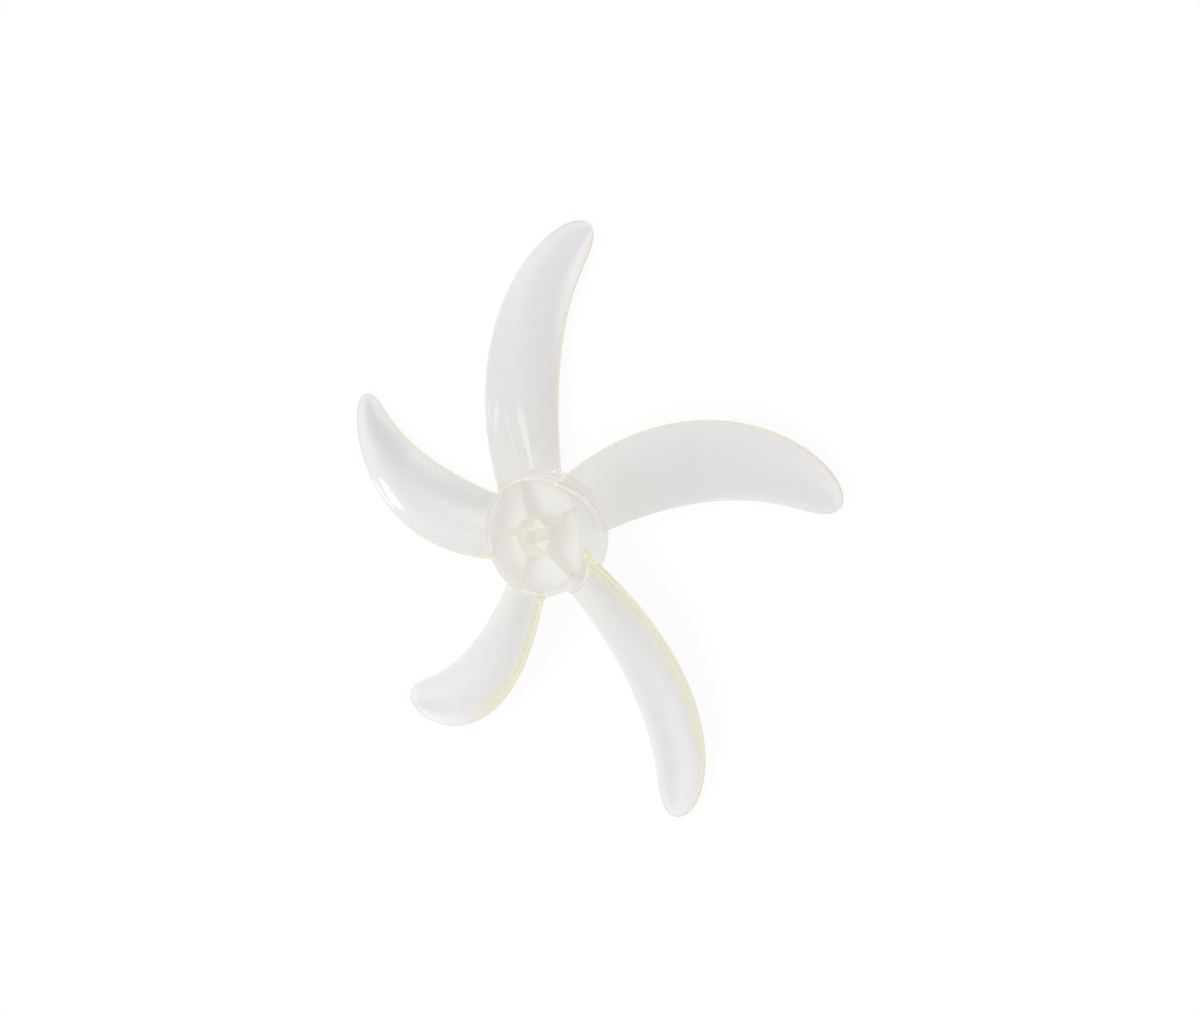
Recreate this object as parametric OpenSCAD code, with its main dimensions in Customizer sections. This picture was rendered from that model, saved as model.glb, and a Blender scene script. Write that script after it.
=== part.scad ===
// Five-bladed rotor of a table or stand fan, moulded in one piece of clear plastic.
// The axis is +Z and points to the front, where the air leaves. Z = 0 is the rear rim of the
// hub, on the axis of the shaft bore. One blade tip lies on +Y. Millimetres and degrees.

/* [Rotor] */
// Diameter of the circle that the blade tips sweep
fan_d = 400; // [320:5:480]
// Number of blades round the hub
blade_count = 5; // [3:1:5]

/* [Hub] */
// Outer diameter of the hub at its rounded front rim
hub_d = 79.5; // [66:0.5:100]
// How much wider the open rear rim is, for the draft of the mould
hub_draft = 1.5; // [0:0.1:3]
// Depth of the hub from its rear rim to its front face
hub_depth = 29; // [24:0.5:40]
// Thickness of the side wall
hub_wall = 2.4; // [1.6:0.1:4]
// Thickness of the front face
face_t = 2.6; // [1.6:0.1:4]
// Radius of the rounded front rim
rim_r = 3; // [1:0.25:5]
// Radius of the inside corner behind the front rim
corner_r = 2; // [0.5:0.25:4]

/* [Shaft seat] */
// Diameter of the motor shaft
shaft_d = 8; // [5:0.5:12]
// Clearance of the bore on the shaft's diameter
shaft_gap = 0.1; // [0.05:0.05:0.3]
// Outer diameter of the boss at its rear end
boss_d = 24; // [18:0.5:32]
// How much wider the boss is at its foot, on the front face
boss_draft = 1.2; // [0:0.1:3]
// Diameter of the drive pin that crosses the shaft
pin_d = 4; // [2:0.5:5]
// Clearance of the slot on the drive pin's diameter
pin_gap = 0.4; // [0.1:0.1:1]
// How far the slot reaches into the rear end of the boss
slot_depth = 6; // [3:0.5:10]

/* [Ribs behind the front face] */
// Thickness of each rib
rib_t = 1.8; // [1.2:0.1:3]
// Height of a rib at the boss
rib_boss_h = 16; // [6:0.5:20]
// Height of a rib at the side wall
rib_wall_h = 9; // [4:0.5:20]

/* [Blade plan] */
// Angle by which the tip runs ahead of the root, seen from the front
sweep = 25; // [0:1:45]
// Angle between the centreline and the radius at the tip
tip_lean = 53; // [20:0.5:70]
// How far the root's direction carries on, as a share of the blade's length
root_pull = 0.59; // [0.3:0.01:0.65]
// How far back the tip's direction reaches, as a share of the blade's length
tip_pull = 0.22; // [0.12:0.01:0.4]
// Distance of the centreline's end from the tip circle
tip_inset = 3.6; // [0:0.1:12]
// Width of the blade at its root
chord_root = 42.5; // [30:0.5:52]
// Width that the blade swells towards, past its root
chord_belly = 64.5; // [40:0.5:80]
// Width that it narrows to again, towards the tip
chord_neck = 40; // [30:0.5:60]
// Width on which the rounding of the tip is struck
chord_tip = 48.5; // [30:0.5:70]
// Fullness of the tip's rounding, 2 for an ellipse and more for a blunter tip
tip_fullness = 3.2; // [2:0.1:6]

/* [Blade lift] */
// How far the root's front edge lies behind the hub's front face
root_step = 1.85; // [0.5:0.05:6]
// How far the middle pulls back towards the rear
drop_mid = 9.5; // [0:0.5:15]
// How far the tip lies behind the root
drop_tip = 14.5; // [0:0.5:17]
// Angle of the blade to the plane of rotation at its root
pitch_root = 25.5; // [10:0.5:28]
// Angle that it turns to along its middle
pitch_mid = 9.5; // [0:0.5:25]
// Angle at its tip
pitch_tip = 1; // [-5:0.5:15]
// Depth of the hollow in the front face, as a share of the width
camber = 0.11; // [0:0.01:0.16]

/* [Blade thickness] */
// Thickness at the root
thick_root = 3.2; // [2:0.1:5]
// Thickness halfway out
thick_mid = 2.2; // [1.4:0.1:4]
// Thickness near the tip
thick_tip = 1.8; // [1.2:0.1:3]

/* [Smoothness] */
// Sections along one blade
ring_count = 32; // [12:2:48]
// Steps across one face of a section
face_steps = 8; // [4:2:16]
// Steps round one edge of a section
edge_steps = 4; // [2:1:8]

/* [Hidden] */

// Values that follow from the sizes above
bore_d = shaft_d + shaft_gap;
hub_rear_d = hub_d + hub_draft;
slot_w = pin_d + pin_gap;
face_z = hub_depth - face_t;
root_z = hub_depth - root_step - chord_root / 2 * sin(pitch_root);
tip_r = fan_d / 2 - tip_inset;
blade_step = 360 / blade_count;
tip_angle = 90;
root_angle = tip_angle + sweep;

// Overlap of shapes that are joined or cut, so that no two skins coincide
bite = 0.6;
// Steps round a quarter of a rounded corner
corner_steps = 6;
// Closes the thickness over the last few millimetres of the tip
nose_power = 40;
// Above 1 it crowds the sections towards the tip
ring_power = 1.8;

// Radius of the hub's outside and of its inside at a height above the rear rim
function hub_out_r(z) = (hub_rear_d - hub_draft * z / hub_depth) / 2;
function hub_in_r(z) = hub_out_r(z) - hub_wall;

// The centreline starts where both corners of the root still lie inside the hub wall
root_r = sqrt(pow(hub_in_r(hub_depth), 2) - pow(chord_root / 2, 2)) - bite;

// Smooth run through three or four handles, with t from 0 to 1
function run3(h, t) = h[0] * pow(1 - t, 2) + 2 * h[1] * t * (1 - t) + h[2] * t * t;
function run4(h, t) = h[0] * pow(1 - t, 3) + 3 * h[1] * t * pow(1 - t, 2)
    + 3 * h[2] * t * t * (1 - t) + h[3] * pow(t, 3);
function run4_slope(h, t) = 3 * ((h[1] - h[0]) * pow(1 - t, 2)
    + 2 * (h[2] - h[1]) * t * (1 - t) + (h[3] - h[2]) * t * t);

// Plan of the centreline, straight out of the hub and curling ahead to the tip
function polar(r, a) = [r * cos(a), r * sin(a)];
root_at = polar(root_r, root_angle);
tip_at = polar(tip_r, tip_angle);
blade_len = norm(tip_at - root_at);
plan = [
    root_at,
    root_at + polar(root_pull * blade_len, root_angle),
    tip_at - polar(tip_pull * blade_len, tip_angle - tip_lean),
    tip_at
];

// Height, width, thickness and pitch along the blade
function lift(t) = run3([root_z, root_z - drop_mid, root_z - drop_tip], t);
function half_chord(t) = run4([chord_root, chord_belly, chord_neck, chord_tip], t) / 2
    * sqrt(1 - pow(t, tip_fullness));
function half_thick(t) = run3([thick_root, thick_mid, thick_tip], t) / 2
    * sqrt(1 - pow(t, nose_power));
function pitch(t) = run3([pitch_root, pitch_mid, pitch_tip], t);

// Point of a section, across it at v from -1 to 1, then out and up from the hollow mid-line
function section_point(w, v, out, up) =
    let (slope = 4 * camber * v, len = sqrt(1 + slope * slope))
    [
        w * v + (out - slope * up) / len,
        -2 * camber * w * (1 - v * v) + (slope * out + up) / len
    ];

// Outline of one section: front face, leading edge, rear face, trailing edge
function section(w, h) =
    let (edge_v = 1 - h / w, turn = 180 / edge_steps)
    concat(
        [for (i = [0 : face_steps]) section_point(w, edge_v * (1 - 2 * i / face_steps), 0, h)],
        [for (i = [1 : edge_steps - 1])
            section_point(w, -edge_v, h * cos(90 + i * turn), h * sin(90 + i * turn))],
        [for (i = [0 : face_steps]) section_point(w, edge_v * (2 * i / face_steps - 1), 0, -h)],
        [for (i = [1 : edge_steps - 1])
            section_point(w, edge_v, h * cos(i * turn - 90), h * sin(i * turn - 90))]
    );

// One section in its place: square to the centreline, turned by the pitch
function ring(t) =
    let (
        x = run4([for (p = plan) p[0]], t),
        y = run4([for (p = plan) p[1]], t),
        dx = run4_slope([for (p = plan) p[0]], t),
        dy = run4_slope([for (p = plan) p[1]], t),
        len = norm([dx, dy]),
        side = [-dy / len, dx / len],
        c = cos(pitch(t)),
        s = sin(pitch(t))
    )
    [for (q = section(half_chord(t), half_thick(t)))
        [
            x + (q[0] * c - q[1] * s) * side[0],
            y + (q[0] * c - q[1] * s) * side[1],
            lift(t) + q[0] * s + q[1] * c
        ]];

// One blade: sections joined to each other, closed flat inside the hub and to a point at the tip
module blade() {
    loop = 2 * (face_steps + edge_steps);
    rings = [for (i = [0 : ring_count - 1]) ring(1 - pow(1 - i / ring_count, ring_power))];
    tip_point = [tip_at[0], tip_at[1], lift(1)];
    points = concat([for (r = rings) each r], [tip_point]);
    last = (ring_count - 1) * loop;
    faces = concat(
        [[for (j = [0 : loop - 1]) j]],
        [for (i = [0 : ring_count - 2], j = [0 : loop - 1])
            let (a = i * loop + j, b = i * loop + (j + 1) % loop)
            each [[a, b + loop, b], [a, a + loop, b + loop]]],
        [for (j = [0 : loop - 1]) [last + j, last + loop, last + (j + 1) % loop]]
    );
    polyhedron(points, faces);
}

// Quarter of a circle, as points from one angle to another
function arc(centre, r, from, to) = [for (i = [0 : corner_steps])
    centre + polar(r, from + (to - from) * i / corner_steps)];

// Outside of the hub as a solid of revolution, with its rounded front rim
module hub_outside() {
    rim_at = hub_out_r(hub_depth - rim_r) - rim_r;
    rotate_extrude($fn = 96)
        polygon(concat(
            [[0, 0], [hub_rear_d / 2, 0]],
            arc([rim_at, hub_depth - rim_r], rim_r, 0, 90),
            [[0, hub_depth]]
        ));
}

// Hollow of the hub, open to the rear
module hub_hollow() {
    corner_at = hub_in_r(face_z - corner_r) - corner_r;
    rotate_extrude($fn = 96)
        polygon(concat(
            [[0, -bite], [hub_in_r(-bite), -bite]],
            arc([corner_at, face_z - corner_r], corner_r, 0, 90),
            [[0, face_z]]
        ));
}

// Boss that holds the motor shaft
module boss() {
    cylinder(h = face_z + bite, d1 = boss_d, d2 = boss_d + boss_draft, $fn = 72);
}

// Ribs from the boss to the side wall, one behind the root of each blade
module ribs() {
    boss_at = boss_d / 2 - bite;
    for (i = [0 : blade_count - 1])
        rotate([90, 0, root_angle + i * blade_step])
            linear_extrude(rib_t, center = true)
                polygon([
                    [boss_at, face_z + bite],
                    [boss_at, face_z - rib_boss_h],
                    [hub_in_r(face_z - rib_wall_h) + bite, face_z - rib_wall_h],
                    [hub_in_r(face_z) + bite, face_z + bite]
                ]);
}

// Bore for the shaft, right through, and the slot that drops over its drive pin
module shaft_seat() {
    translate([0, 0, -bite])
        cylinder(h = hub_depth + 2 * bite, d = bore_d, $fn = 72);
    translate([-boss_d, -slot_w / 2, -bite])
        cube([2 * boss_d, slot_w, slot_depth + bite]);
}

// The whole moulding
module fan_blade() {
    color("gainsboro", 0.6)
        difference() {
            union() {
                difference() {
                    union() {
                        hub_outside();
                        for (i = [0 : blade_count - 1])
                            rotate([0, 0, i * blade_step])
                                blade();
                    }
                    hub_hollow();
                }
                boss();
                ribs();
            }
            shaft_seat();
        }
}

fan_blade();
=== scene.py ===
import math

import bmesh
import bpy
from mathutils import Matrix, Vector


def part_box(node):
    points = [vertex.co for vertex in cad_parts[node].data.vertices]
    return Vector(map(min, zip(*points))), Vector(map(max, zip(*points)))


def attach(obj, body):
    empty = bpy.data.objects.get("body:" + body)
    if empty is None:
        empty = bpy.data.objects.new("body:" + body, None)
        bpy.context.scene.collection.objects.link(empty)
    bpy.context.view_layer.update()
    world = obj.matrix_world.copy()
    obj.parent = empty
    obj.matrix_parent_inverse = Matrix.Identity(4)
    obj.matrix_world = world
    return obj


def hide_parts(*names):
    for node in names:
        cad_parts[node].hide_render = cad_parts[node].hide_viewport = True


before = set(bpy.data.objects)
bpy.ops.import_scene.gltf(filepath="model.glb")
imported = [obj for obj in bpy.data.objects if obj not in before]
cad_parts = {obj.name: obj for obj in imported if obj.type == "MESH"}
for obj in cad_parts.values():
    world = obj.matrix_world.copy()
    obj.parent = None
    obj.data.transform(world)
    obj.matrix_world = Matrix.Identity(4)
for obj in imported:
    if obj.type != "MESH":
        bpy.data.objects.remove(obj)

bl_info = {
    "name": "Clear fan rotor",
    "version": (1, 0, 0),
    "blender": (4, 5, 0),
    "location": "3D View > Sidebar > Fan rotor",
    "description": "Moulded rotor of a table fan in clear plastic, lying on a white studio floor",
    "category": "Object",
}

MM = 0.001
NODE = "fan_blade"
PIECE = "clear_rotor"
BODY = "root"
EDGE_ATTRIBUTE = "rounded_edge"
BAND_ATTRIBUTE = "trailing_band"
WHITE = (1.0, 1.0, 1.0, 1.0)
PAPER = (0.94, 0.94, 0.94, 1.0)
BLACK = (0.0, 0.0, 0.0, 1.0)
# Half a step, which keeps a test of whole numbers clear of rounding
HALF_STEP = 0.5

# The box of the packed part gives the hub's depth
CAD_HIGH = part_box(NODE)[1]


def length(label, about, millimetres):
    """A size that is given in millimetres and kept in metres."""
    return bpy.props.FloatProperty(
        name=label,
        description=about,
        default=millimetres * MM,
        precision=5,
        unit="LENGTH",
        subtype="DISTANCE",
    )


def angle(label, about, degrees):
    """An angle that is given in degrees and kept in radians."""
    return bpy.props.FloatProperty(
        name=label, description=about, default=math.radians(degrees), unit="ROTATION", subtype="ANGLE"
    )


def share(label, about, value):
    """A plain number."""
    return bpy.props.FloatProperty(name=label, description=about, default=value, precision=3)


def colour(label, about, rgb):
    """A colour, in linear red, green and blue."""
    return bpy.props.FloatVectorProperty(
        name=label, description=about, default=rgb, size=3, min=0.0, max=1.0, subtype="COLOR"
    )


class HubSizes(bpy.types.PropertyGroup):
    """Sizes of the cup-shaped hub and of what seats the motor's shaft."""

    hub_d: length("Hub diameter", "Outer diameter of the hub at its rounded front rim", 79.5)
    hub_draft: length("Hub draft", "How much wider the open rear rim is", 1.5)
    hub_depth: length("Hub depth", "Depth from the rear rim to the front face", CAD_HIGH.z / MM)
    hub_wall: length("Hub wall", "Thickness of the side wall", 2.4)
    face_t: length("Face thickness", "Thickness of the front face", 2.6)
    rim_r: length("Rim radius", "Radius of the rounded front rim", 3.0)
    corner_r: length("Inner corner", "Radius of the inside corner behind the front rim", 2.0)
    foot_r: length("Boss foot", "Radius of the corner between the boss and the front face", 1.0)
    lip_r: length("Lip radius", "Radius that breaks the sharp edges at the rear", 0.4)
    shaft_d: length("Shaft diameter", "Diameter of the motor shaft", 8.0)
    shaft_gap: length("Shaft clearance", "Clearance of the bore on the shaft's diameter", 0.1)
    boss_d: length("Boss diameter", "Outer diameter of the boss at its rear end", 24.0)
    boss_draft: length("Boss draft", "How much wider the boss is at its foot", 1.2)
    pin_d: length("Pin diameter", "Diameter of the drive pin that crosses the shaft", 4.0)
    pin_gap: length("Pin clearance", "Clearance of the slot on the drive pin's diameter", 0.4)
    slot_depth: length("Slot depth", "How far the slot reaches into the rear end of the boss", 6.0)
    rib_t: length("Rib thickness", "Thickness of each rib at its foot", 1.8)
    rib_draft: length("Rib draft", "How much thinner the rib is at its free edge", 0.4)
    rib_boss_h: length("Rib height at boss", "Height of a rib at the boss", 16.0)
    rib_wall_h: length("Rib height at wall", "Height of a rib at the side wall", 9.0)


class BladeSizes(bpy.types.PropertyGroup):
    """Sizes of one swept blade. Each is an input of the blade's node group."""

    fan_d: length("Fan diameter", "Diameter of the circle that the tips sweep", 400.0)
    sweep: angle("Sweep", "Angle by which the tip runs ahead of the root", 25.0)
    tip_lean: angle("Tip lean", "Angle between the centreline and the radius at the tip", 53.0)
    root_pull: share("Root pull", "How far the root's direction carries on, of the length", 0.59)
    tip_pull: share("Tip pull", "How far back the tip's direction reaches, of the length", 0.22)
    tip_inset: length("Tip inset", "Distance of the centreline's end from the tip circle", 3.7)
    chord_root: length("Root width", "Width of the blade at its root", 42.5)
    chord_belly: length("Belly width", "Width that the blade swells towards", 64.5)
    chord_neck: length("Neck width", "Width that it narrows to again", 40.0)
    chord_tip: length("Tip width", "Width on which the rounding of the tip is struck", 48.5)
    tip_fullness: share("Tip fullness", "2 for an ellipse, and more for a blunter tip", 3.2)
    root_step: length("Root step", "How far the root's front edge lies behind the front face", 1.85)
    drop_mid: length("Middle drop", "How far the middle pulls back towards the rear", 9.5)
    drop_tip: length("Tip drop", "How far the tip lies behind the root", 14.5)
    pitch_root: angle("Root pitch", "Angle to the plane of rotation at the root", 25.5)
    pitch_mid: angle("Middle pitch", "Angle that it turns to along the middle", 9.5)
    pitch_tip: angle("Tip pitch", "Angle at the tip", 1.0)
    camber: share("Camber", "Depth of the hollow in the front face, of the width", 0.11)
    thick_root: length("Root thickness", "Thickness at the root", 3.2)
    thick_mid: length("Middle thickness", "Thickness halfway out", 2.2)
    thick_tip: length("Tip thickness", "Thickness near the tip", 1.8)
    root_fillet: length("Root fillet", "Radius of the fillet between blade and hub", 2.6)


class PlasticFinish(bpy.types.PropertyGroup):
    """Look of the clear plastic."""

    hub_tint: colour("Hub tint", "Tint of the plastic near the hub", (0.785, 0.775, 0.757))
    tip_tint: colour("Tip tint", "Tint of the plastic near the tips", (0.862, 0.842, 0.878))
    inside_tint: colour("Inside tint", "Tint of the surfaces inside the hub", (0.79, 0.785, 0.78))
    # Painted edge light: a lighter yellow on the rounded edges, for the light that the plastic gathers and
    # lets out there
    edge_tint: colour("Edge tint", "Tint where the rounded edges gather light", (0.87, 0.85, 0.76))
    # Painted edge light round the tips, in a deeper yellow
    tip_edge_tint: colour("Tip edge tint", "Tint of the rounded edges round the tips", (0.78, 0.73, 0.56))
    # Painted glow: a bright yellow where the trailing edges meet the hub
    root_tint: colour("Root tint", "Tint of the trailing edges where they meet the hub", (0.96, 0.90, 0.45))
    slant_tint: colour("Slant tint", "Tint of the trailing edge's band seen at a slant", (0.85, 0.79, 0.50))
    # Painted glow: colours of the emission that takes the place of light caught inside the plastic, which
    # lights up the hub, its wall and the trailing edges' roots
    gathered_glow: colour("Gathered light", "Light that has run along inside the plastic", (0.87, 0.85, 0.79))
    hub_light: colour("Hub light", "Light that has run to and fro inside the hub", (0.88, 0.855, 0.80))
    wall_light: colour("Wall light", "Light caught in the hub's outer wall", (0.925, 0.91, 0.875))
    root_light: colour("Root light", "Light caught where a trailing edge meets the hub", (0.97, 0.92, 0.45))
    inner_colour: colour("Inner colour", "Colour that a long way in the plastic gives", (0.95, 0.88, 0.40))
    inner_density: share("Inner density", "How soon light takes on the inner colour, per metre", 6.0)
    ior: share("Index of refraction", "How strongly the plastic bends light", 1.57)
    haze: share("Haze", "Roughness of the moulded surface", 0.05)
    satin: share("Satin", "Added roughness of the surfaces inside the hub", 0.4)
    ripple: length("Ripple", "Depth of the flow ripples in the surface", 0.05)
    lamp_tint: colour("Lamp tint", "How much of the lamps' light passes through a face", (0.99, 0.99, 0.985))


class StudioSetup(bpy.types.PropertyGroup):
    """Camera, floor and daylight."""

    aim: bpy.props.FloatVectorProperty(
        name="Aim",
        description="Point that the camera looks at",
        default=(41.67 * MM, 28.66 * MM, 17.63 * MM),
        size=3,
        unit="LENGTH",
        subtype="TRANSLATION",
    )
    camera_azimuth: angle("Azimuth", "Direction of the camera round the rotor, from +X", 24.0)
    camera_elevation: angle("Elevation", "Height of the camera above the floor", 55.37)
    camera_roll: angle("Roll", "Turn of the camera about its own axis", -102.62)
    camera_distance: length("Distance", "Distance of the camera from its aim", 597.0)
    lens: share("Lens", "Focal length in millimetres, on a sensor 36 mm wide", 28.72)
    floor_size: length("Floor size", "Width of the floor", 9000.0)
    floor_gap: length("Floor gap", "Distance of the floor below the rear rim", 0.2)
    floor_glow: share("Floor glow", "Share of plain white in what the camera sees of the floor", 0.85)
    floor_glow_inside: share("Floor glow inside", "The same share, seen through or in the plastic", 0.5)
    daylight: share("Daylight", "Strength of the even light from all round", 0.96)


class Field:
    """A number in a node tree. Arithmetic on it adds Math nodes."""

    def __init__(self, tree, socket):
        self.tree = tree
        self.socket = socket

    def __add__(self, other):
        return maths("ADD", self, other)

    def __radd__(self, other):
        return maths("ADD", other, self)

    def __sub__(self, other):
        return maths("SUBTRACT", self, other)

    def __rsub__(self, other):
        return maths("SUBTRACT", other, self)

    def __mul__(self, other):
        return maths("MULTIPLY", self, other)

    def __rmul__(self, other):
        return maths("MULTIPLY", other, self)

    def __truediv__(self, other):
        return maths("DIVIDE", self, other)

    def __pow__(self, other):
        return maths("POWER", self, other)


def feed(tree, socket, value):
    """Links a field or a socket to an input, or writes a plain value there."""
    if isinstance(value, Field):
        value = value.socket
    if isinstance(value, bpy.types.NodeSocket):
        tree.links.new(value, socket)
    elif value is not None:
        socket.default_value = value


def maths(operation, *values):
    """A Math node on fields and plain numbers."""
    tree = next(v.tree for v in values if isinstance(v, Field))
    node = tree.nodes.new("ShaderNodeMath")
    node.operation = operation
    for socket, value in zip(node.inputs, values):
        feed(tree, socket, value)
    return Field(tree, node.outputs[0])


def clamped(value, low=0.0, high=1.0):
    """The value, kept between two others."""
    return maths("MINIMUM", maths("MAXIMUM", value, low), high)


def add_node(tree, kind, settings=None, **inputs):
    """A new node with its settings, and its inputs by name with _ for a space."""
    node = tree.nodes.new(kind)
    for name, value in (settings or {}).items():
        setattr(node, name, value)
    for name, value in inputs.items():
        feed(tree, node.inputs[name.replace("_", " ")], value)
    return node


def cosine(value):
    """Cosine of a field."""
    return maths("COSINE", value)


def sine(value):
    """Sine of a field."""
    return maths("SINE", value)


def root_of(value):
    """Square root of a field."""
    return maths("SQRT", value)


def run3(a, b, c, t):
    """Smooth run through three handles, with t from 0 to 1."""
    u = 1 - t
    return a * u * u + 2 * b * t * u + c * t * t


def run4(a, b, c, d, t):
    """Smooth run through four handles."""
    u = 1 - t
    return a * u * u * u + 3 * b * t * u * u + 3 * c * t * t * u + d * t * t * t


def run4_slope(a, b, c, d, t):
    """How fast run4 changes with t."""
    u = 1 - t
    return 3 * ((b - a) * u * u + 2 * (c - b) * t * u + (d - c) * t * t)


# Fineness of a blade's mesh: steps across a face and round an edge, and sections near the root and beyond
FACE_STEPS = 22
EDGE_STEPS = 10
ROOT_RINGS = 26
SPAN_RINGS = 148
# Share of the blade's length that the sections near the root take
ROOT_SHARE = 0.1
LOOP = 2 * (FACE_STEPS + EDGE_STEPS)
# Closes the thickness over the last few millimetres of the tip
NOSE_POWER = 40.0
# Above 1 it crowds the sections towards the tip
RING_POWER = 1.8
# The fillet stops at this share of its radius from the hub, before it lies flat on it
FILLET_STOP = 0.15
# Share of the fillet that widens the blade as well as thickening it
FILLET_WIDEN = 0.4
# Width and fade of the band along each edge where painted edge light stands in for the light that the plastic
# gathers, and of the broader one along the trailing edge
EDGE_BAND = (1.5 * MM, 1.5 * MM)
TRAILING_BAND = (14.0 * MM, 4.0 * MM)
# Share of the blade's length past which the edge band broadens, and the share of its width that it
# gains by the tip
TIP_START = 0.72
TIP_BROADER = 0.3
# Overlap of shapes that are joined or cut
BITE = 0.6 * MM
# Points nearer to each other than this are merged, in a blade and in a turned shape
BLADE_MERGE = 0.0001 * MM
LATHE_MERGE = 0.001 * MM


def size_inputs(tree, group, names=None):
    """Makes one input of the tree for each size of a property group."""
    for key, prop in group.bl_rna.properties.items():
        if prop.type != "FLOAT" or (names and key not in names):
            continue
        socket = tree.interface.new_socket(prop.name, in_out="INPUT", socket_type="NodeSocketFloat")
        socket.description = prop.description
        socket.default_value = prop.default
        if prop.subtype in ("DISTANCE", "ANGLE"):
            socket.subtype = prop.subtype


def size_fields(tree, group_input, *groups):
    """The tree's size inputs as fields, by the keys of their properties."""
    fields = {}
    for group in groups:
        for key, prop in group.bl_rna.properties.items():
            if prop.type == "FLOAT" and prop.name in group_input.outputs:
                fields[key] = Field(tree, group_input.outputs[prop.name])
    return fields


HUB_INPUTS = ("hub_d", "hub_draft", "hub_depth", "hub_wall")


def blade_tree():
    """Node group that makes one blade, as sections swept along a curve and closed at both ends."""
    tree = bpy.data.node_groups.new("Swept blade", "GeometryNodeTree")
    size_inputs(tree, BladeSizes)
    size_inputs(tree, HubSizes, HUB_INPUTS)
    tree.interface.new_socket("Blade", in_out="OUTPUT", socket_type="NodeSocketGeometry")
    given = add_node(tree, "NodeGroupInput")
    s = size_fields(tree, given, BladeSizes, HubSizes)

    # Numbers of the section and of the point in it, from the point's place in a grid
    index = Field(tree, add_node(tree, "GeometryNodeInputIndex").outputs[0])
    row = maths("FLOOR", (index + HALF_STEP) / (LOOP + 1))
    column = index - row * (LOOP + 1)
    open_row = clamped(row)
    ring = maths("MAXIMUM", row - 1, 0.0)
    root_run = clamped(ring / ROOT_RINGS)
    span_run = clamped((ring - ROOT_RINGS) / SPAN_RINGS)
    t = ROOT_SHARE * root_run + (1 - ROOT_SHARE) * (1 - (1 - span_run) ** RING_POWER)

    # Plan of the centreline, straight out of the hub and curling ahead to the tip
    inner_r = s["hub_d"] / 2 - s["hub_wall"]
    root_r = root_of(inner_r * inner_r - s["chord_root"] * s["chord_root"] / 4) - BITE
    tip_r = s["fan_d"] / 2 - s["tip_inset"]
    root_x = -1 * root_r * sine(s["sweep"])
    root_y = root_r * cosine(s["sweep"])
    blade_len = root_of(root_x * root_x + (tip_r - root_y) * (tip_r - root_y))
    root_reach = s["root_pull"] * blade_len
    tip_reach = s["tip_pull"] * blade_len
    plan_x = (
        root_x,
        root_x - root_reach * sine(s["sweep"]),
        -1 * tip_reach * sine(s["tip_lean"]),
        root_x * 0,
    )
    plan_y = (
        root_y,
        root_y + root_reach * cosine(s["sweep"]),
        tip_r - tip_reach * cosine(s["tip_lean"]),
        tip_r,
    )
    at_x = run4(*plan_x, t)
    at_y = run4(*plan_y, t)
    slope_x = run4_slope(*plan_x, t)
    slope_y = run4_slope(*plan_y, t)
    slope_len = root_of(slope_x * slope_x + slope_y * slope_y)
    side_x = -1 * slope_y / slope_len
    side_y = slope_x / slope_len

    # Height, width, thickness and pitch along the blade
    root_z = s["hub_depth"] - s["root_step"] - s["chord_root"] / 2 * sine(s["pitch_root"])
    lift = run3(root_z, root_z - s["drop_mid"], root_z - s["drop_tip"], t)
    tip_round = root_of(1 - t ** s["tip_fullness"])
    chords = (s["chord_root"], s["chord_belly"], s["chord_neck"], s["chord_tip"])
    half_chord = run4(*chords, t) / 2 * tip_round * open_row
    thicks = (s["thick_root"], s["thick_mid"], s["thick_tip"])
    half_thick = run3(*thicks, t) / 2 * root_of(1 - t**NOSE_POWER) * open_row
    pitch = run3(s["pitch_root"], s["pitch_mid"], s["pitch_tip"], t)

    # Place round the section: front face, leading edge, rear face, trailing edge
    front = clamped(column / FACE_STEPS)
    leading = clamped((column - FACE_STEPS) / EDGE_STEPS)
    rear = clamped((column - FACE_STEPS - EDGE_STEPS) / FACE_STEPS)
    trailing = clamped((column - 2 * FACE_STEPS - EDGE_STEPS) / EDGE_STEPS)
    across = (1 - half_thick / half_chord) * (1 - 2 * front + 2 * rear)
    turn = math.pi / 2 + math.pi * leading + math.pi * trailing

    def placed(out, up):
        """Point of the section, out and up from its hollow mid-line, turned by the pitch."""
        bend = 4 * s["camber"] * across
        bend_len = root_of(1 + bend * bend)
        wide = half_chord * across + (out - bend * up) / bend_len
        high = -2 * s["camber"] * half_chord * (1 - across * across) + (bend * out + up) / bend_len
        flat = wide * cosine(pitch) - high * sine(pitch)
        x = at_x + flat * side_x
        y = at_y + flat * side_y
        z = lift + wide * sine(pitch) + high * cosine(pitch)
        return x, y, z

    # Fillet against the hub's side wall
    zero = root_x * 0
    mid_x, mid_y, mid_z = placed(zero, zero)
    wall_r = (s["hub_d"] + s["hub_draft"] * (1 - mid_z / s["hub_depth"])) / 2
    wall_gap = root_of(mid_x * mid_x + mid_y * mid_y) - wall_r
    fillet = s["root_fillet"]
    short = fillet - clamped(wall_gap, fillet * FILLET_STOP, fillet)
    flare = (fillet - root_of(fillet * fillet - short * short)) * open_row
    x, y, z = placed(
        (half_thick + flare * FILLET_WIDEN) * cosine(turn), (half_thick + flare) * sine(turn)
    )

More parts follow.
